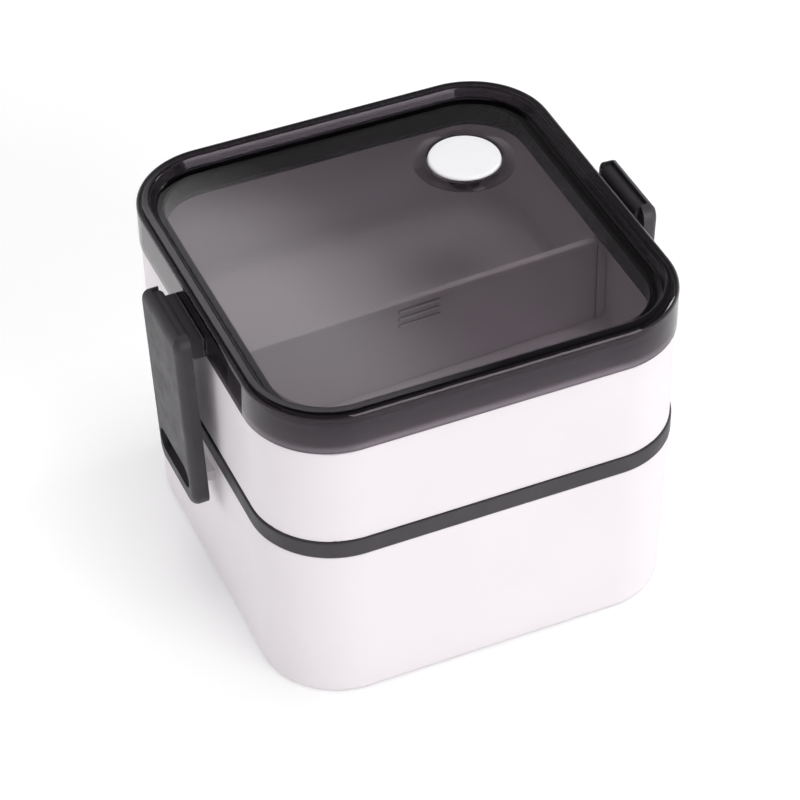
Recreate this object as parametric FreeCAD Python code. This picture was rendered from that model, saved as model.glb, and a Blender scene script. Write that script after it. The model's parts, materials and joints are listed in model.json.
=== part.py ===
import FreeCAD, Part
import math
import os

from FreeCAD import Vector

# Outline shared by every tier, in millimetres
BODY_HALF = 80.0
CORNER_R = 31.0

# Heights of the stack, from the table up
BOX_H = 68.0
BAND_H = 7.0
TRAY_WALL_H = 40.6
SKIRT_GAP = 0.6
LID_H = 16.8

# Clearances
FIT = 0.3
SEAL_SEAT = 0.05
PIVOT_FIT = 0.05

# Lower box
BOX_INSET = 0.5
BOX_DRAFT = 1.9
BOX_WALL = 2.6
BOX_FLOOR = 2.4
FOOT_H = 1.0
FOOT_W = 6.0
BOX_BASE_R = 1.6
BOX_FLOOR_R = 5.0

# Middle lid
BAND_INSET = 0.3
BAND_WALL = 2.6
MID_RECESS = 3.4
MID_PLATE_T = 2.0
MID_PLUG_H = 6.9
MID_PLUG_T = 2.0
MID_SEAL_W = 2.8
MID_FLANGE_W = 1.6
MID_FLANGE_T = 1.2

# Upper tray
TRAY_INSET = 0.7
TRAY_DRAFT = 0.3
RIM_T = 2.0
TRAY_INNER_DRAFT = 0.6
TRAY_FLOOR = 2.2
TRAY_FLOOR_R = 4.0
TRAY_FOOT_W = 2.2

# Top lid
SKIRT_T = 1.9
SKIRT_LEAD = 2.8
BEAD_H = 4.2
BEAD_W = 5.0
BEAD_SLOPE = 1.6
BEAD_R = 2.2
PANEL_T = 2.2
PLUG_H = 9.1
PLUG_T = 1.8
LID_SEAL_W = 3.2
LID_FLANGE_W = 1.4
LID_FLANGE_T = 0.8

# Seals
LIP_T = 1.0
SEAL_BACK_T = 1.2

# Divider
DIVIDER_Y = -13.0
DIVIDER_SKEW = 2.4
DIVIDER_H = 37.0
DIVIDER_T = 2.0
DIVIDER_BEAD_T = 3.0
DIVIDER_BEAD_H = 2.4
DIVIDER_END_W = 3.6
RIDGE_L = 16.0
RIDGE_H = 1.2
RIDGE_PROUD = 0.7
RIDGE_PITCH = 3.2
RIDGE_COUNT = 3

# Steam button
VENT_X = 40.5
VENT_Y = 36.5
VENT_R = 13.5
VENT_GAP = 0.6
VENT_CAP_H = 2.2
VENT_DOME = 0.4
COLLAR_W = 0.9
COLLAR_H = 1.4
COLLAR_FLARE = 4.0
VENT_SEAT = 0.6
STEM_R = 3.5
STEM_FIT = 0.08
VENT_TRAVEL = 3.0
BARB_R = 4.8
BARB_H = 1.6
VENT_SEAL_R = 6.4
VENT_SEAL_W = 1.6
VENT_SEAL_H = 1.0

# Clips and their hinges
CLIP_W = 36.0
CLIP_T = 6.0
CLIP_WALL = 1.8
CLIP_CORNER_R = 6.5
CLIP_EDGE_R = 2.8
CLIP_LEAN = 2.0
CLIP_TOP_R = 4.7
CLIP_CAP_ANGLE = 70.0
CHEEK_DROP = 5.0
HINGE_OUT = 7.6
HINGE_UP = 8.6
HINGE_LUG_W = 27.4
HINGE_LUG_R = 3.0
HINGE_LUG_OUT = 4.2
PIN_R = 1.6
PIN_L = 2.8
SLOT_W = 29.0
SLOT_H = 10.0
SLOT_R = 4.5
CLIP_BAR_H = 7.0

# Catch lugs on the lower box
LUG_W = 24.0
LUG_T = 4.4
LUG_DROP = 6.0
LUG_CLEAR = 0.6
LUG_SHORT = 4.2

# Levels and outlines that follow from the sizes above
CORE = BODY_HALF - CORNER_R
PLATE_HALF = CORE + 10.0
BAND_Z = BOX_H
TRAY_Z = BAND_Z + BAND_H
SHOULDER_Z = TRAY_Z + TRAY_WALL_H
SKIRT_Z = SHOULDER_Z + SKIRT_GAP
TOP_Z = SKIRT_Z + LID_H
PANEL_Z = TOP_Z - BEAD_H
CEILING_Z = PANEL_Z - PANEL_T
PLUG_Z = CEILING_Z - PLUG_H
BOX_FLOOR_Z = FOOT_H + BOX_FLOOR
MID_PLATE_Z = TRAY_Z - MID_RECESS
MID_PLUG_Z = BAND_Z - MID_PLUG_H
TRAY_FLOOR_Z = TRAY_Z + 0.8 + TRAY_FLOOR

BOX_HALF = BODY_HALF - BOX_INSET
BAND_HALF = BODY_HALF - BAND_INSET
TRAY_HALF = BODY_HALF - TRAY_INSET
RIM_OUT = BODY_HALF - SKIRT_T - FIT
RIM_IN = RIM_OUT - RIM_T
TRAY_IN = RIM_IN - TRAY_INNER_DRAFT
LID_PLUG_OUT = RIM_IN - FIT - LID_SEAL_W - SEAL_SEAT

HINGE_X = BODY_HALF + HINGE_OUT
HINGE_Z = SKIRT_Z + HINGE_UP
CLIP_OUT_X = HINGE_X + CLIP_TOP_R
CLIP_IN_X = CLIP_OUT_X - CLIP_T
CLIP_TOP_Z = HINGE_Z + CLIP_TOP_R
LUG_TOP_Z = BOX_H - LUG_DROP
LUG_Z = LUG_TOP_Z - LUG_T
SLOT_Z = LUG_Z - LUG_CLEAR
CLIP_Z = SLOT_Z - CLIP_BAR_H
LUG_TIP_X = CLIP_OUT_X - LUG_SHORT - (HINGE_Z - LUG_Z) * math.sin(math.radians(CLIP_LEAN))

TRAY_SLOPE = TRAY_INNER_DRAFT / (CEILING_Z - TRAY_FLOOR_Z)


def box_inner_half(z):
    """Half width of the lower box's inside at a height."""
    share = (BOX_H - z) / BOX_H
    return BOX_HALF - BOX_WALL - BOX_DRAFT * share


def tray_inner_half(z):
    """Half width of the upper tray's inside at a height."""
    return TRAY_IN + TRAY_SLOPE * (z - TRAY_FLOOR_Z)


MID_PLUG_OUT = box_inner_half(MID_PLUG_Z) - FIT - MID_SEAL_W - SEAL_SEAT


def profile(corners):
    """Closed wire in the XZ plane through corners (x, z) or (x, z, radius)."""
    points = [Vector(c[0], 0, c[1]) for c in corners]
    radii = [c[2] if len(c) > 2 else 0.0 for c in corners]
    count = len(points)
    starts = []
    ends = []
    middles = []
    for i in range(count):
        here = points[i]
        back = (points[i - 1] - here).normalize()
        ahead = (points[(i + 1) % count] - here).normalize()
        if radii[i] == 0.0:
            starts.append(here)
            ends.append(here)
            middles.append(None)
            continue
        half_angle = back.getAngle(ahead) / 2
        reach = radii[i] / math.tan(half_angle)
        inward = (back + ahead).normalize()
        centre = here + inward * (radii[i] / math.sin(half_angle))
        starts.append(here + back * reach)
        ends.append(here + ahead * reach)
        middles.append(centre - inward * radii[i])
    edges = []
    for i in range(count):
        if middles[i] is not None:
            edges.append(Part.Arc(starts[i], middles[i], ends[i]).toShape())
        following = starts[(i + 1) % count]
        if (following - ends[i]).Length > 1e-6:
            edges.append(Part.LineSegment(ends[i], following).toShape())
    return Part.Wire(edges)


def extrude_y(corners, half_width, middle=0.0):
    """Solid of an XZ profile, as wide on both sides of a middle plane."""
    face = Part.Face(profile(corners))
    face.translate(Vector(0, middle - half_width, 0))
    return face.extrude(Vector(0, 2 * half_width, 0))


def round_rim(corners):
    """Sweeps an XZ profile once round the square outline with its round corners."""
    face = Part.Face(profile(corners))
    side = face.copy()
    side.translate(Vector(0, -CORE, 0))
    side = side.extrude(Vector(0, 2 * CORE, 0))
    bend = face.copy()
    bend.translate(Vector(0, CORE, 0))
    bend = bend.revolve(Vector(CORE, CORE, 0), Vector(0, 0, 1), 90)
    pieces = []
    for turn in range(4):
        for piece in (side, bend):
            turned = piece.copy()
            turned.rotate(Vector(0, 0, 0), Vector(0, 0, 1), 90 * turn)
            pieces.append(turned)
    return pieces[0].multiFuse(pieces[1:]).removeSplitter()


def slab(half, z0, z1):
    """Flat plate with the shared outline, from one height to another."""
    plate = Part.makeBox(2 * half, 2 * half, z1 - z0, Vector(-half, -half, z0))
    uprights = [e for e in plate.Edges if abs(e.tangentAt(e.FirstParameter).z) > 0.9]
    return plate.makeFillet(half - CORE, uprights)


def block(x0, x1, y0, y1, z0, z1):
    return Part.makeBox(x1 - x0, y1 - y0, z1 - z0, Vector(x0, y0, z0))


def disc(radius, z0, z1):
    """Upright cylinder on the steam button's axis."""
    return Part.makeCylinder(radius, z1 - z0, Vector(VENT_X, VENT_Y, z0))


def turned_piece(corners):
    """Solid of an XZ profile turned about the steam button's axis."""
    face = Part.Face(profile(corners))
    solid = face.revolve(Vector(0, 0, 0), Vector(0, 0, 1), 360)
    solid.translate(Vector(VENT_X, VENT_Y, 0))
    return solid


def other_side(shape):
    return shape.mirror(Vector(0, 0, 0), Vector(1, 0, 0))


def make_lower_box():
    base_half = BOX_HALF - BOX_DRAFT
    floor_half = box_inner_half(BOX_FLOOR_Z)
    foot_in = base_half - BOX_BASE_R - FOOT_W
    wall = round_rim([
        (PLATE_HALF, FOOT_H),
        (foot_in, FOOT_H),
        (foot_in + FOOT_H, 0),
        (base_half, 0, BOX_BASE_R),
        (BOX_HALF, BOX_H, 0.5),
        (BOX_HALF - BOX_WALL, BOX_H, 0.5),
        (floor_half, BOX_FLOOR_Z, BOX_FLOOR_R),
        (PLATE_HALF, BOX_FLOOR_Z),
    ])
    root = BOX_HALF - BOX_WALL / 2
    lug = extrude_y([
        (root, LUG_Z),
        (LUG_TIP_X, LUG_Z, 0.6),
        (LUG_TIP_X, LUG_TOP_Z - 0.8, 1.0),
        (root, LUG_TOP_Z),
    ], LUG_W / 2)
    floor = slab(PLATE_HALF, FOOT_H, BOX_FLOOR_Z)
    return wall.multiFuse([floor, lug, other_side(lug)]).removeSplitter()


def make_middle_lid():
    plate_under = MID_PLATE_Z - MID_PLATE_T
    plug_in = MID_PLUG_OUT - MID_PLUG_T
    flange_out = MID_PLUG_OUT + MID_FLANGE_W
    flange_z = MID_PLUG_Z + MID_FLANGE_T
    rim = round_rim([
        (PLATE_HALF, plate_under),
        (plug_in, plate_under, 0.8),
        (plug_in, MID_PLUG_Z),
        (flange_out, MID_PLUG_Z, 0.5),
        (flange_out, flange_z),
        (MID_PLUG_OUT, flange_z),
        (MID_PLUG_OUT, BAND_Z),
        (BAND_HALF, BAND_Z, 0.5),
        (BAND_HALF, TRAY_Z, 0.6),
        (BAND_HALF - BAND_WALL, TRAY_Z, 0.5),
        (BAND_HALF - BAND_WALL, MID_PLATE_Z, 0.6),
        (PLATE_HALF, MID_PLATE_Z),
    ])
    plate = slab(PLATE_HALF, plate_under, MID_PLATE_Z)
    return rim.fuse(plate).removeSplitter()


def lip_ring(inner, width, z0, z1):
    """Silicone ring with a flat back and two outward lips."""
    outer = inner + width
    back = inner + SEAL_BACK_T
    return round_rim([
        (inner, z0),
        (outer, z0, 0.4),
        (outer, z0 + LIP_T, 0.4),
        (back, z0 + LIP_T + 0.4, 0.3),
        (back, z1 - LIP_T - 0.4, 0.3),
        (outer, z1 - LIP_T, 0.4),
        (outer, z1, 0.4),
        (inner, z1),
    ])


def make_middle_seal():
    z0 = MID_PLUG_Z + MID_FLANGE_T + SEAL_SEAT
    z1 = BAND_Z - SEAL_SEAT
    return lip_ring(MID_PLUG_OUT + SEAL_SEAT, MID_SEAL_W, z0, z1)


def make_upper_tray():
    under_z = TRAY_FLOOR_Z - TRAY_FLOOR
    foot_out = BAND_HALF - BAND_WALL - FIT
    foot_in = foot_out - TRAY_FOOT_W
    foot_z = MID_PLATE_Z + FIT
    rim_z = CEILING_Z - FIT
    wall = round_rim([
        (PLATE_HALF, under_z),
        (foot_in, under_z),
        (foot_in + 0.2, foot_z, 0.5),
        (foot_out - 0.2, foot_z, 0.5),
        (foot_out, TRAY_Z),
        (TRAY_HALF - TRAY_DRAFT, TRAY_Z, 0.7),
        (TRAY_HALF, SHOULDER_Z, 0.4),
        (RIM_OUT, SHOULDER_Z),
        (RIM_OUT, rim_z, 0.8),
        (tray_inner_half(rim_z), rim_z, 0.8),
        (TRAY_IN, TRAY_FLOOR_Z, TRAY_FLOOR_R),
        (PLATE_HALF, TRAY_FLOOR_Z),
    ])
    floor = slab(PLATE_HALF, under_z, TRAY_FLOOR_Z)
    return wall.fuse(floor).removeSplitter()


def make_divider():
    foot_z = TRAY_FLOOR_Z + FIT
    top_z = TRAY_FLOOR_Z + DIVIDER_H
    bead_z = top_z - DIVIDER_BEAD_H
    reach = BODY_HALF
    wall = block(-reach, reach, -DIVIDER_T / 2, DIVIDER_T / 2, foot_z, top_z)
    bead = block(-reach, reach, -DIVIDER_BEAD_T / 2, DIVIDER_BEAD_T / 2, bead_z, top_z)
    upper_edges = [e for e in bead.Edges if e.BoundBox.ZMin > top_z - 0.01 and e.BoundBox.XLength > 1]
    bead = bead.makeFillet(0.6, upper_edges)
    end_in = tray_inner_half(foot_z) - DIVIDER_END_W
    ends = []
    for side in (-1, 1):
        x0, x1 = sorted((side * end_in, side * reach))
        ends.append(block(x0, x1, -DIVIDER_BEAD_T / 2, DIVIDER_BEAD_T / 2, foot_z, top_z - DIVIDER_BEAD_H))
    ridges = []
    for i in range(RIDGE_COUNT):
        z = bead_z - RIDGE_PITCH * (i + 0.6)
        y = -DIVIDER_T / 2 - RIDGE_PROUD
        ridge = block(-RIDGE_L / 2, RIDGE_L / 2, y, 0, z - RIDGE_H / 2, z + RIDGE_H / 2)
        outer_edges = [e for e in ridge.Edges if e.BoundBox.YMax < y + 0.01 and e.BoundBox.XLength > 1]
        ridges.append(ridge.makeFillet(0.45, outer_edges))
    divider = wall.multiFuse([bead] + ends + ridges).removeSplitter()
    divider.rotate(Vector(0, 0, 0), Vector(0, 0, 1), DIVIDER_SKEW)
    divider.translate(Vector(0, DIVIDER_Y, 0))
    room = round_rim([
        (PLATE_HALF, foot_z),
        (tray_inner_half(foot_z) - FIT, foot_z, TRAY_FLOOR_R + FIT),
        (tray_inner_half(top_z) - FIT, top_z),
        (PLATE_HALF, top_z),
    ])
    room = room.fuse(slab(PLATE_HALF, foot_z, top_z))
    return divider.common(room).removeSplitter()


def hinge_pin(radius, half_length):
    """Cylinder on the right hinge's axis."""
    return Part.makeCylinder(radius, 2 * half_length, Vector(HINGE_X, -half_length, HINGE_Z), Vector(0, 1, 0))


def make_hinge_lug():
    """Lug on the lid's skirt with a round nose and a pin at each end."""
    root = BODY_HALF - SKIRT_T / 2
    half = HINGE_LUG_W / 2
    arm = extrude_y([
        (root, SKIRT_Z + FIT),
        (BODY_HALF + HINGE_LUG_OUT, SKIRT_Z + FIT, 1.5),
        (HINGE_X + HINGE_LUG_R * 0.7, HINGE_Z - HINGE_LUG_R * 0.7),
        (HINGE_X, HINGE_Z - FIT),
        (root, HINGE_Z - FIT),
    ], half)
    return arm.multiFuse([hinge_pin(HINGE_LUG_R, half), hinge_pin(PIN_R, half + PIN_L)])


def make_lid():
    plug_in = LID_PLUG_OUT - PLUG_T
    flange_out = LID_PLUG_OUT + LID_FLANGE_W
    flange_z = PLUG_Z + LID_FLANGE_T
    skirt_in = BODY_HALF - SKIRT_T
    bead_in = BODY_HALF - BEAD_W
    rim = round_rim([
        (PLATE_HALF, PANEL_Z),
        (bead_in - BEAD_SLOPE, PANEL_Z, 1.2),
        (bead_in, TOP_Z, 1.0),
        (BODY_HALF, TOP_Z, BEAD_R),
        (BODY_HALF, SKIRT_Z, 0.4),
        (skirt_in + 0.9, SKIRT_Z, 0.3),
        (skirt_in, SKIRT_Z + SKIRT_LEAD),
        (skirt_in, TOP_Z - PANEL_T, 0.4),
        (skirt_in - 1.0, TOP_Z - PANEL_T, 0.4),
        (bead_in + 0.6, CEILING_Z),
        (LID_PLUG_OUT, CEILING_Z),
        (LID_PLUG_OUT, flange_z),
        (flange_out, flange_z, 0.2),
        (flange_out, PLUG_Z, 0.3),
        (plug_in - 0.2, PLUG_Z, 0.3),
        (plug_in, CEILING_Z, 0.8),
        (PLATE_HALF, CEILING_Z),
    ])
    panel = slab(PLATE_HALF, CEILING_Z, PANEL_Z)
    well_r = VENT_R + VENT_GAP
    collar_r = well_r + COLLAR_W
    collar = turned_piece([
        (0, CEILING_Z + PANEL_T / 2),
        (collar_r + COLLAR_FLARE, CEILING_Z + PANEL_T / 2),
        (collar_r + COLLAR_FLARE, PANEL_Z + 0.2),
        (collar_r, PANEL_Z + COLLAR_H, 0.4),
        (0, PANEL_Z + COLLAR_H),
    ])
    lug = make_hinge_lug()
    lid = rim.multiFuse([panel, collar, lug, other_side(lug)]).removeSplitter()
    well = disc(well_r, PANEL_Z - VENT_SEAT, TOP_Z)
    hole = disc(STEM_R + STEM_FIT, CEILING_Z - 1, PANEL_Z)
    return lid.cut(well).cut(hole)


def make_lid_seal():
    z0 = PLUG_Z + LID_FLANGE_T + SEAL_SEAT
    z1 = CEILING_Z - SEAL_SEAT
    return lip_ring(LID_PLUG_OUT + SEAL_SEAT, LID_SEAL_W, z0, z1)


def make_vent_button():
    seat_z = PANEL_Z - VENT_SEAT
    cap_z = seat_z + FIT
    top_z = cap_z + VENT_CAP_H
    barb_top = CEILING_Z - VENT_TRAVEL - FIT
    barb_z = barb_top - BARB_H
    body = turned_piece([
        (0, barb_z),
        (STEM_R - 1.0, barb_z),
        (BARB_R, barb_z + BARB_H / 2, 0.3),
        (BARB_R, barb_top),
        (STEM_R, barb_top),
        (STEM_R, cap_z),
        (VENT_R, cap_z, 0.3),
        (VENT_R, top_z, 1.1),
        (VENT_R - 3.0, top_z + VENT_DOME * 0.6, 3.0),
        (0, top_z + VENT_DOME),
    ])
    groove_out = VENT_SEAL_R + SEAL_SEAT
    groove_in = VENT_SEAL_R - VENT_SEAL_W - SEAL_SEAT
    groove_top = seat_z + VENT_SEAL_H + 2 * SEAL_SEAT
    groove = disc(groove_out, cap_z, groove_top).cut(disc(groove_in, cap_z, groove_top))
    steam_slot = block(
        VENT_X - 0.8, VENT_X + 0.8,
        VENT_Y - BARB_R - 1, VENT_Y + BARB_R + 1,
        barb_z - 1, barb_top + VENT_TRAVEL - 0.6,
    )
    return body.cut(groove).cut(steam_slot)


def make_vent_seal():
    seat_z = PANEL_Z - VENT_SEAT
    z0 = seat_z + SEAL_SEAT
    z1 = z0 + VENT_SEAL_H
    inner = VENT_SEAL_R - VENT_SEAL_W
    return turned_piece([
        (inner, z0, 0.3),
        (VENT_SEAL_R, z0, 0.3),
        (VENT_SEAL_R, z1),
        (inner, z1),
    ])


def rounded_panel(x0, x1, half_width, z0, z1, radius):
    """Upright plate facing X with its four corners rounded."""
    plate = block(x0, x1, -half_width, half_width, z0, z1)
    corners = [e for e in plate.Edges if e.BoundBox.XLength > abs(x1 - x0) / 2]
    return plate.makeFillet(radius, corners)


def make_clip():
    half = CLIP_W / 2
    inside_x = CLIP_OUT_X - CLIP_WALL
    skin = rounded_panel(CLIP_IN_X, CLIP_OUT_X, half, CLIP_Z, CLIP_TOP_Z, CLIP_CORNER_R)
    front = [e for e in skin.Edges if e.BoundBox.XMin > CLIP_OUT_X - 0.01]
    skin = skin.makeFillet(CLIP_EDGE_R, front)
    skin = skin.common(extrude_y([
        (CLIP_IN_X, CLIP_Z, CLIP_T * 0.48),
        (CLIP_OUT_X, CLIP_Z, CLIP_T * 0.48),
        (CLIP_OUT_X, CLIP_TOP_Z, CLIP_TOP_R),
        (CLIP_IN_X, CLIP_TOP_Z),
    ], half + 1))
    room_top = CLIP_TOP_Z - CLIP_WALL
    room = rounded_panel(
        CLIP_IN_X - 1, inside_x, half - CLIP_WALL,
        SLOT_Z, room_top, CLIP_CORNER_R - CLIP_WALL,
    )
    room = room.common(extrude_y([
        (CLIP_IN_X - 2, CLIP_Z),
        (inside_x, CLIP_Z),
        (inside_x, room_top, CLIP_TOP_R - CLIP_WALL),
        (CLIP_IN_X - 2, room_top),
    ], half))
    cheek_y = HINGE_LUG_W / 2 + FIT
    cheeks = []
    for y0, y1 in ((-half, -cheek_y), (cheek_y, half)):
        cheeks.append(skin.common(block(CLIP_IN_X, CLIP_OUT_X, y0, y1, HINGE_Z - CHEEK_DROP, CLIP_TOP_Z)))
    clip = skin.cut(room).multiFuse(cheeks)
    clip = clip.cut(rounded_panel(inside_x - 1, CLIP_OUT_X + 1, SLOT_W / 2, SLOT_Z, SLOT_Z + SLOT_H, SLOT_R))
    cap_edge = HINGE_X + CLIP_TOP_R * math.cos(math.radians(CLIP_CAP_ANGLE))
    clip = clip.cut(block(CLIP_IN_X - 1, cap_edge, -cheek_y, cheek_y, HINGE_Z, CLIP_TOP_Z + 1))
    clip = clip.cut(hinge_pin(HINGE_LUG_R + FIT, cheek_y))
    clip = clip.cut(hinge_pin(PIN_R + PIVOT_FIT, HINGE_LUG_W / 2 + PIN_L + FIT))
    clip.rotate(Vector(HINGE_X, 0, HINGE_Z), Vector(0, 1, 0), CLIP_LEAN)
    return clip.removeSplitter()


right_clip = make_clip()
pieces = {
    "lower_box": make_lower_box(),
    "middle_lid": make_middle_lid(),
    "middle_seal": make_middle_seal(),
    "upper_tray": make_upper_tray(),
    "divider": make_divider(),
    "lid": make_lid(),
    "lid_seal": make_lid_seal(),
    "vent_button": make_vent_button(),
    "vent_seal": make_vent_seal(),
    "right_clip": right_clip,
    "left_clip": other_side(right_clip),
}

os.makedirs("parts", exist_ok=True)
for name, shape in pieces.items():
    shape.exportStep("parts/" + name + ".step")
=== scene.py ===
import json
import math

import bpy
from mathutils import Matrix, Vector

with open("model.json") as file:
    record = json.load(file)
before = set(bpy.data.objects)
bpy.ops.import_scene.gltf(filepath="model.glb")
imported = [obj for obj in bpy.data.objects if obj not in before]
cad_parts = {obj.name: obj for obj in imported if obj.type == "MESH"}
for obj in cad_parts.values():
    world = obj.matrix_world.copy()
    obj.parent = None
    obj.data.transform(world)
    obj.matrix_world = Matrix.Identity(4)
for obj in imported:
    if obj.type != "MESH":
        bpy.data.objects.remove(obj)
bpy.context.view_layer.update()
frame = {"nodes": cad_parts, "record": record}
nodes = frame["nodes"]
scene = bpy.context.scene
scene.view_settings.view_transform = "Standard"

# Camera at the photograph's viewing angle
AZIMUTH = math.radians(-22.927)
ELEVATION = math.radians(41.102)
ROLL = math.radians(-1.018)
CAMERA_AT = Vector((-0.324918, -0.763164, 0.780318))
FOCAL_PX = 2991.477
PHOTO_PX = 800.0
SENSOR_MM = 36.0

# Light levels
FLOOR_GLOW = 0.255
PANEL_GLOW = 1.75
TOP_FILL_POWER = 46.0
FRONT_FILL_POWER = 25.5
KEY_POWER = 5.0
LEFT_FILL_POWER = 16.0

# Floor, just under the part's foot
FLOOR_SIZE = 12.0
FLOOR_Z = -0.0002
FLOOR_WHITE = (0.86, 0.86, 0.86, 1)
FLOOR_ROUGHNESS = 0.9

# Colours of the sky by height, from the horizon to overhead
SKY_COLOURS = (
    (0.0, (0.62, 0.61, 0.63, 1)),
    (0.25, (0.48, 0.4728, 0.4848, 1)),
    (0.45, (0.28, 0.2758, 0.2828, 1)),
    (0.75, (0.12, 0.1182, 0.1212, 1)),
    (1.0, (0.10, 0.10, 0.105, 1)),
)
# Edges of the sky's panel: an axis, and how far along it a direction leans where the panel starts
# and where it is full. It fades in leftwards and upwards, ends further left, lies ahead of the
# camera, and keeps clear of the horizon and of overhead
PANEL_EDGES = (
    ((-0.92, 0.39, 1.2), 0.740, 0.803),
    ((-0.92, 0.39, 0.0), 0.30, 0.17),
    ((0.39, 0.92, 0.0), 0.25, 0.5),
    ((0.0, 0.0, 1.0), 0.590, 0.612),
    ((0.0, 0.0, 1.0), 0.70, 0.63),
)

# Spans of the noise that are stretched to the limits of a roughness and of a colour
NOISE_SPAN = (0.3, 0.7)
DRIFT_SPAN = (0.35, 0.65)

# Moulded plastics: noise per metre of their slow colour drift and of their uneven sheen
DRIFT_SCALE = 24.0
SHEEN_SCALE = 160.0
# Looks of the moulded plastics by material slot
MOULDED_LOOKS = {
    "white_plastic": {
        "dark": (0.89, 0.842, 0.872, 1),
        "light": (0.905, 0.858, 0.889, 1),
        "roughness": (0.36, 0.46),
        "grain_scale": 900.0,
        "grain_depth": 0.00003,
        "grain_strength": 0.25,
    },
    "button_white": {
        "dark": (0.93, 0.92, 0.935, 1),
        "light": (0.945, 0.935, 0.95, 1),
        "roughness": (0.28, 0.36),
        "grain_scale": 500.0,
        "grain_depth": 0.00002,
        "grain_strength": 0.15,
    },
    "dark_grey_plastic": {
        "dark": (0.028, 0.0245, 0.029, 1),
        "light": (0.036, 0.0315, 0.0375, 1),
        "roughness": (0.42, 0.56),
        "grain_scale": 2600.0,
        "grain_depth": 0.00005,
        "grain_strength": 0.5,
    },
    "grey_silicone": {
        "dark": (0.012, 0.0115, 0.0125, 1),
        "light": (0.017, 0.0165, 0.0175, 1),
        "roughness": (0.6, 0.75),
        "grain_scale": 80.0,
        "grain_depth": 0.00002,
        "grain_strength": 0.06,
    },
}

# Painted shade in the recesses between the divider's ridges: how far around is searched, the
# openness that counts as shut and as open, and what is left of the colour where it is shut
RECESS_REACH = 0.0025
RECESS_SPAN = (0.45, 0.95)
RECESS_SHADE = 0.35
RECESS_SAMPLES = 8

# Smoke-tinted plastic: how much light one metre of it takes away, and the colour it spares
SMOKE_DENSITY = 368.0
SMOKE_COLOUR = (0.03, 0.0, 0.022, 1)
SMOKE_IOR = 1.5
SMOKE_ROUGHNESS = (0.008, 0.025)
SMOKE_SHEEN_SCALE = 90.0
SMOKE_WAVE_SCALE = 35.0
SMOKE_WAVE_DEPTH = 0.00001
SMOKE_WAVE_STRENGTH = 0.06

# The lid's outline, and the height of its skirt's lower edge
CORNER_RADIUS = 0.031
LID_HALF = max(corner[1] for corner in nodes["lid"].bound_box)
LID_CORE = LID_HALF - CORNER_RADIUS
SKIRT_Z = min(corner[2] for corner in nodes["lid"].bound_box)
# Where the lid's zones change, from the pane out over the seal's seat and the rim to the hinge
# lugs: how far outside the lid's outline each change starts and ends
PANE_TO_SEAT = (-0.0100, -0.0092)
SEAT_TO_RIM = (-0.0058, -0.0052)
RIM_TO_LUG = (0.0003, 0.0009)
# Tints of the zones: those of the seat, rim and skirt go by height, over this span of the skirt
PANE_TINT = (0.98, 0.97, 0.98, 1)
SKIRT_SPAN = 0.0108
# The darker first stops, along the skirt's lower edge, are a painted shadow line where the skirt
# meets the tray
SKIRT_TINTS_AND_SHADOW_LINE = (
    (0.0, (0.42, 0.40, 0.42, 1)),
    (0.035, (0.42, 0.4011, 0.42, 1)),
    (0.055, (0.68, 0.6494, 0.68, 1)),
    (0.19, (0.65, 0.62075, 0.65, 1)),
    (0.29, (0.44, 0.4202, 0.44, 1)),
    (1.0, (0.32, 0.30, 0.325, 1)),
)
LUG_TINT = (0.034, 0.031, 0.035, 1)
# Tints of the zones' gloss
PANE_GLOSS = (1, 1, 1, 1)
SEAT_GLOSS = (0.30, 0.26, 0.30, 1)
RIM_GLOSS = (0.88, 0.78, 0.87, 1)
# Roughness that the matt lugs have more than the rest of the lid
LUG_ROUGHNESS = 0.45


def new_material(name):
    material = bpy.data.materials.new(name)
    material.use_nodes = True
    tree = material.node_tree
    shader = tree.nodes["Principled BSDF"]
    return material, tree, shader


def feed(tree, socket, value):
    """Gives an input a constant, or links it to another node's output."""
    if isinstance(value, bpy.types.NodeSocket):
        tree.links.new(value, socket)
    else:
        socket.default_value = value


def fill(tree, node, **inputs):
    """Feeds a node's inputs by name, with underscores for spaces."""
    for name, value in inputs.items():
        feed(tree, node.inputs[name.replace("_", " ")], value)


def add_node(tree, kind, **inputs):
    node = tree.nodes.new(kind)
    fill(tree, node, **inputs)
    return node


def work_out(tree, kind, operation, values):
    """Outputs of a maths node whose inputs take the values in order."""
    node = tree.nodes.new(kind)
    node.operation = operation
    for socket, value in zip(node.inputs, values):
        feed(tree, socket, value)
    return node.outputs


def maths(tree, operation, *values):
    return work_out(tree, "ShaderNodeMath", operation, values)["Value"]


def vector_maths(tree, operation, *values):
    return work_out(tree, "ShaderNodeVectorMath", operation, values)


def noise(tree, scale, detail):
    """Noise in the object's own metres."""
    place = tree.nodes.new("ShaderNodeTexCoord").outputs["Object"]
    pattern = add_node(tree, "ShaderNodeTexNoise", Vector=place, Scale=scale, Detail=detail)
    return pattern.outputs["Fac"]


def ramp(tree, source, stops):
    """Colour ramp through stops, each a place on it and a colour."""
    node = add_node(tree, "ShaderNodeValToRGB", Fac=source)
    elements = node.color_ramp.elements
    for element, (at, colour) in zip(elements, (stops[0], stops[-1])):
        element.position = at
        element.color = colour
    for at, colour in stops[1:-1]:
        elements.new(at).color = colour
    return node.outputs["Color"]


def stretch(tree, source, start, end, low=0.0, high=1.0, curve="LINEAR"):
    """Goes from low to high while the source goes from start to end."""
    node = add_node(tree, "ShaderNodeMapRange", Value=source, From_Min=start, From_Max=end)
    node.interpolation_type = curve
    fill(tree, node, To_Min=low, To_Max=high)
    return node.outputs["Result"]


def blend(tree, share, one, other, mode="MIX"):
    """Mixes two colours or colour sockets."""
    node = tree.nodes.new("ShaderNodeMix")
    node.data_type = "RGBA"
    node.blend_type = mode
    fill(tree, node, Factor=share, A=one, B=other)
    return node.outputs["Result"]


def bump(tree, shader, height, depth, strength):
    node = add_node(tree, "ShaderNodeBump", Height=height, Distance=depth, Strength=strength)
    fill(tree, shader, Normal=node.outputs["Normal"])


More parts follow.
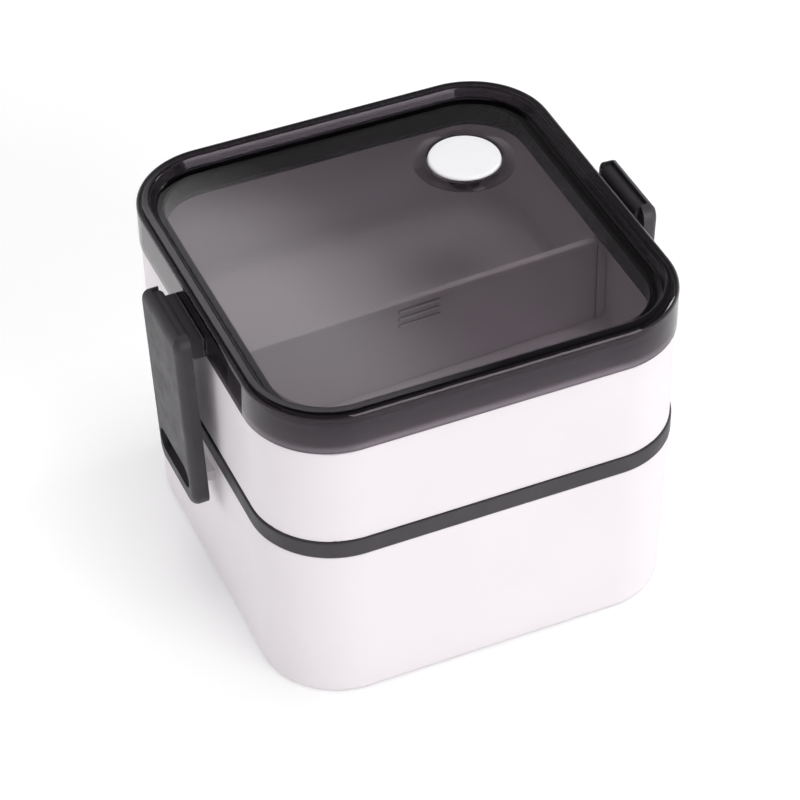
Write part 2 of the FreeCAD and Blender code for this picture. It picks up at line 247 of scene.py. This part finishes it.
def moulded_plastic(name, dark, light, roughness, grain_scale, grain_depth, grain_strength):
    """Moulded plastic: slow colour drift, uneven sheen and a fine mould grain."""
    material, tree, shader = new_material(name)
    drift = noise(tree, DRIFT_SCALE, detail=3.0)
    colour = ramp(tree, drift, tuple(zip(DRIFT_SPAN, (dark, light))))
    sheen = noise(tree, SHEEN_SCALE, detail=4.0)
    fill(tree, shader, Base_Color=colour, Roughness=stretch(tree, sheen, *NOISE_SPAN, *roughness))
    bump(tree, shader, noise(tree, grain_scale, detail=4.0), grain_depth, grain_strength)
    return material


def paint_shade_in_recesses(material):
    """Paints shade into the fine recesses between ridges."""
    tree = material.node_tree
    shader = tree.nodes["Principled BSDF"]
    colour = shader.inputs["Base Color"].links[0].from_socket
    recess = add_node(tree, "ShaderNodeAmbientOcclusion", Distance=RECESS_REACH)
    recess.samples = RECESS_SAMPLES
    recess.only_local = True
    shade = stretch(tree, recess.outputs["AO"], *RECESS_SPAN, RECESS_SHADE, 1.0)
    fill(tree, shader, Base_Color=blend(tree, 1.0, colour, shade, "MULTIPLY"))


def lid_zones(tree):
    """Tint and gloss of the lid's zones, with a painted shadow line along the skirt's lower edge, and
    the share of its matt hinge lugs.
    """
    place = tree.nodes.new("ShaderNodeTexCoord").outputs["Object"]
    size = vector_maths(tree, "ABSOLUTE", place)["Vector"]
    # One metre is more than any height on the lid, so only the two flat axes are left
    past_core = vector_maths(tree, "SUBTRACT", size, (LID_CORE, LID_CORE, 1.0))["Vector"]
    outside = vector_maths(tree, "MAXIMUM", past_core, (0.0, 0.0, 0.0))["Vector"]
    reach = vector_maths(tree, "LENGTH", outside)["Value"]
    off_pane, off_seat, lug = (
        stretch(tree, reach, CORNER_RADIUS + start, CORNER_RADIUS + end)
        for start, end in (PANE_TO_SEAT, SEAT_TO_RIM, RIM_TO_LUG)
    )

    height = add_node(tree, "ShaderNodeSeparateXYZ", Vector=place).outputs["Z"]
    # Tint by height, with the painted shadow line along the skirt's lower edge
    skirt = ramp(tree, stretch(tree, height, SKIRT_Z, SKIRT_Z + SKIRT_SPAN), SKIRT_TINTS_AND_SHADOW_LINE)
    tint_and_shadow_line = blend(tree, lug, blend(tree, off_pane, PANE_TINT, skirt), LUG_TINT)
    gloss = blend(tree, off_pane, PANE_GLOSS, blend(tree, off_seat, SEAT_GLOSS, RIM_GLOSS))
    return tint_and_shadow_line, gloss, lug


def smoke_plastic(name):
    """Clear smoke-tinted plastic: glass that takes light away with depth and lets lamps through."""
    material, tree, shader = new_material(name)
    tint_and_shadow_line, gloss, lug = lid_zones(tree)
    sheen = stretch(tree, noise(tree, SMOKE_SHEEN_SCALE, detail=4.0), *NOISE_SPAN, *SMOKE_ROUGHNESS)
    fill(
        tree,
        shader,
        Base_Color=tint_and_shadow_line,
        Specular_Tint=gloss,
        Transmission_Weight=stretch(tree, lug, 0.0, 1.0, 1.0, 0.0),
        IOR=SMOKE_IOR,
        Roughness=maths(tree, "MULTIPLY_ADD", lug, LUG_ROUGHNESS, sheen),
    )
    waves = noise(tree, SMOKE_WAVE_SCALE, detail=2.0)
    bump(tree, shader, waves, SMOKE_WAVE_DEPTH, SMOKE_WAVE_STRENGTH)

    path = tree.nodes.new("ShaderNodeLightPath")
    clear = add_node(tree, "ShaderNodeBsdfTransparent", Color=tint_and_shadow_line)
    surface = add_node(tree, "ShaderNodeMixShader", Fac=path.outputs["Is Shadow Ray"])
    feed(tree, surface.inputs[1], shader.outputs["BSDF"])
    feed(tree, surface.inputs[2], clear.outputs["BSDF"])
    depth = add_node(tree, "ShaderNodeVolumeAbsorption", Color=SMOKE_COLOUR, Density=SMOKE_DENSITY)
    output = tree.nodes["Material Output"]
    fill(tree, output, Surface=surface.outputs["Shader"], Volume=depth.outputs["Volume"])
    return material


def floor_white(name):
    """Matt white that keeps the soft shadow and goes to white around it."""
    material, tree, shader = new_material(name)
    fill(tree, shader, Base_Color=FLOOR_WHITE, Roughness=FLOOR_ROUGHNESS, Specular_IOR_Level=0.0)
    path = tree.nodes.new("ShaderNodeLightPath").outputs
    seen = maths(tree, "MAXIMUM", path["Is Camera Ray"], path["Is Transmission Ray"])
    seen = maths(tree, "MAXIMUM", seen, path["Is Glossy Ray"])
    glow = add_node(tree, "ShaderNodeEmission", Strength=maths(tree, "MULTIPLY", seen, FLOOR_GLOW))
    surface = tree.nodes.new("ShaderNodeAddShader")
    feed(tree, surface.inputs[0], shader.outputs["BSDF"])
    feed(tree, surface.inputs[1], glow.outputs["Emission"])
    fill(tree, tree.nodes["Material Output"], Surface=surface.outputs["Shader"])
    return material


def studio_sky(name):
    """Sky that is pale at the horizon and dim overhead, with a soft panel's glow at the back left."""
    world = bpy.data.worlds.new(name)
    world.use_nodes = True
    tree = world.node_tree
    direction = tree.nodes.new("ShaderNodeTexCoord").outputs["Generated"]
    height = add_node(tree, "ShaderNodeSeparateXYZ", Vector=direction).outputs["Z"]
    shares = []
    for axis, start, end in PANEL_EDGES:
        lean = vector_maths(tree, "DOT_PRODUCT", direction, axis)["Value"]
        shares.append(stretch(tree, lean, start, end, curve="SMOOTHSTEP"))
    panel = shares[0]
    for share in shares[1:]:
        panel = maths(tree, "MULTIPLY", panel, share)
    panel = maths(tree, "MULTIPLY", panel, PANEL_GLOW)
    colour = blend(tree, 1.0, ramp(tree, height, SKY_COLOURS), panel, "ADD")
    fill(tree, tree.nodes["Background"], Color=colour)
    return world


def area_light(name, at, aim, size, power, mirrored):
    """Square lamp that faces a point, and shows in gloss where it is mirrored."""
    data = bpy.data.lights.new(name, "AREA")
    data.shape = "SQUARE"
    data.size = size
    data.energy = power
    lamp = bpy.data.objects.new(name, data)
    lamp.location = at
    lamp.rotation_euler = (Vector(aim) - Vector(at)).to_track_quat("-Z", "Y").to_euler()
    lamp.visible_glossy = mirrored
    scene.collection.objects.link(lamp)


# Finish of each piece by its material slot
finishes = {slot: moulded_plastic(slot, **look) for slot, look in MOULDED_LOOKS.items()}
finishes["smoke_plastic"] = smoke_plastic("smoke_plastic")
for subpart in frame["record"]["subparts"]:
    mesh = nodes[subpart["node"]].data
    mesh.materials.clear()
    mesh.materials.append(finishes[subpart["material_slot"]])

# The divider's white, with painted shade in the recesses between its ridges
divider_white_painted_shade = finishes["white_plastic"].copy()
divider_white_painted_shade.name = "divider_white_painted_shade"
paint_shade_in_recesses(divider_white_painted_shade)
nodes["divider"].data.materials[0] = divider_white_painted_shade

# Studio: floor, sky and lamps
bpy.ops.mesh.primitive_plane_add(size=FLOOR_SIZE, location=(0, 0, FLOOR_Z))
floor = bpy.context.object
floor.name = "floor"
floor.data.materials.append(floor_white("floor_white"))

scene.world = studio_sky("studio")

# Name, place, aim, size, power, and whether gloss shows the lamp
area_light("top_fill", (0.25, -0.1, 3.0), (0, 0, 0), 1.8, TOP_FILL_POWER, False)
area_light("front_fill", (0.75, -2.1, 0.8), (0, 0, 0.07), 1.4, FRONT_FILL_POWER, True)
area_light("key", (1.6, 0.1, 0.95), (0, 0, 0.1), 0.45, KEY_POWER, True)
area_light("left_fill", (-2.2, 0.5, 1.0), (0, 0, 0.07), 1.6, LEFT_FILL_POWER, False)

# Camera axes from its angles: back points at the viewer
level = math.cos(ELEVATION)
back = Vector((math.sin(AZIMUTH) * level, -math.cos(AZIMUTH) * level, math.sin(ELEVATION)))
right = Vector((math.cos(AZIMUTH), math.sin(AZIMUTH), 0))
up = back.cross(right)
rolled_right = right * math.cos(ROLL) + up * math.sin(ROLL)
rolled_up = up * math.cos(ROLL) - right * math.sin(ROLL)
camera_data = bpy.data.cameras.new("camera")
camera_data.sensor_width = SENSOR_MM
camera_data.lens = FOCAL_PX / PHOTO_PX * SENSOR_MM
camera = bpy.data.objects.new("camera", camera_data)
axes = Matrix((rolled_right, rolled_up, back)).transposed()
camera.matrix_world = Matrix.Translation(CAMERA_AT) @ axes.to_4x4()
scene.collection.objects.link(camera)
scene.camera = camera
